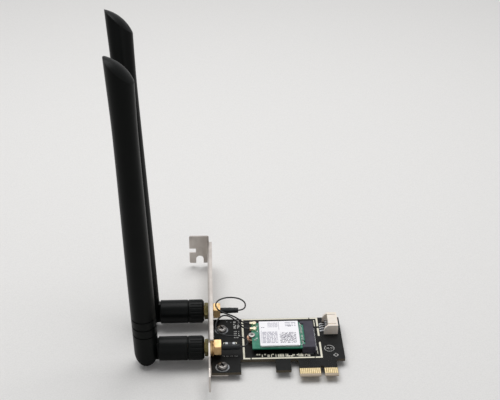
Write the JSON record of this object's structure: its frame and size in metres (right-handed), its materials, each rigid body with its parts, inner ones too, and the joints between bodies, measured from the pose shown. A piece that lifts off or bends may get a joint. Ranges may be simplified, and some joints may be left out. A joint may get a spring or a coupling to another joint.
{
  "type": "wireless network card",
  "caption": "Expansion card with an edge connector, slot bracket, radio module on its board, and hinged rod antennas.",
  "frame": {"origin": "component face of the board, at the edge connector's tip, in line with the key notch", "axes": "+X from the bracket along the board, +Y from the connector's tip to the bracket's tab, +Z off the component face, the way the antennas stand"},
  "size_m": [0.1235, 0.12, 0.1767],
  "materials": {
    "bracket_steel": "satin nickel plate",
    "board_laminate": "black solder mask",
    "gold_plate": "gold plated",
    "screw_steel": "nickel plated",
    "module_laminate": "green solder mask",
    "can_steel": "tinned",
    "label_film": "matt printed film",
    "chip_epoxy": "moulded epoxy",
    "socket_nylon": "moulded",
    "tinned_metal": "tin plated",
    "header_nylon": "natural nylon",
    "sleeve_rubber": "heat-shrunk",
    "cable_jacket": "smooth jacket",
    "insulator_plastic": "turned",
    "antenna_plastic": "satin moulded",
    "hinge_steel": "blackened"
  },
  "bodies": {
    "card": {"bracket": "bracket_steel", "board": "board_laminate", "edge_contacts": "gold_plate", "standoff": "gold_plate", "jack_front": "gold_plate", "jack_rear": "gold_plate", "jack_nut_front": "gold_plate", "jack_nut_rear": "gold_plate", "jack_pin_front": "gold_plate", "jack_pin_rear": "gold_plate", "flat_washer_front": "gold_plate", "flat_washer_rear": "gold_plate", "lock_washer_front": "gold_plate", "lock_washer_rear": "gold_plate", "coax_plug_front": "gold_plate", "coax_plug_rear": "gold_plate", "coax_socket_front": "gold_plate", "coax_socket_rear": "gold_plate", "board_screws": "screw_steel", "module_screw": "screw_steel", "module_board": "module_laminate", "module_can": "can_steel", "module_label": "label_film", "radio_chip": "chip_epoxy", "chip_part_body": "chip_epoxy", "module_socket": "socket_nylon", "socket_leads": "tinned_metal", "header_pins": "tinned_metal", "chip_part_ends": "tinned_metal", "header_housing": "header_nylon", "cable_sleeve_front": "sleeve_rubber", "cable_sleeve_rear": "sleeve_rubber", "cable_front": "cable_jacket", "cable_rear": "cable_jacket", "jack_insulator_front": "insulator_plastic", "jack_insulator_rear": "insulator_plastic"},
    "knob_front": {"knob_front": "antenna_plastic", "coupling_nut_front": "gold_plate"},
    "knob_rear": {"knob_rear": "antenna_plastic", "coupling_nut_rear": "gold_plate"},
    "barrel_front": {"barrel_front": "antenna_plastic", "plug_body_front": "gold_plate", "hinge_pin_front": "hinge_steel"},
    "barrel_rear": {"barrel_rear": "antenna_plastic", "plug_body_rear": "gold_plate", "hinge_pin_rear": "hinge_steel"},
    "rod_front": {"rod_front": "antenna_plastic", "radiator_front": "gold_plate"},
    "rod_rear": {"rod_rear": "antenna_plastic", "radiator_rear": "gold_plate"}
  },
  "joints": [
    {"name": "knob_spin_front", "type": "hinge", "parent": "card", "child": "knob_front", "pos_m": [-0.066, 0.01849, 0.00479], "axis": [1, 0, 0], "continuous": true},
    {"name": "antenna_swivel_front", "type": "hinge", "parent": "card", "child": "barrel_front", "pos_m": [-0.079, 0.01849, 0.00479], "axis": [1, 0, 0], "range_deg": [-1.2, 180.8]},
    {"name": "antenna_fold_front", "type": "hinge", "parent": "barrel_front", "child": "rod_front", "pos_m": [-0.0928, 0.01849, 0.00479], "axis": [0, -0.9999, 0.014], "range_deg": [-2, 88]},
    {"name": "knob_spin_rear", "type": "hinge", "parent": "card", "child": "knob_rear", "pos_m": [-0.066, 0.05072, 0.00479], "axis": [1, 0, 0], "continuous": true},
    {"name": "antenna_swivel_rear", "type": "hinge", "parent": "card", "child": "barrel_rear", "pos_m": [-0.079, 0.05072, 0.00479], "axis": [1, 0, 0], "range_deg": [-164.5, 17.5]},
    {"name": "antenna_fold_rear", "type": "hinge", "parent": "barrel_rear", "child": "rod_rear", "pos_m": [-0.0928, 0.05072, 0.00479], "axis": [0, -0.9636, 0.2672], "range_deg": [-3.7, 86.3]}
  ]
}
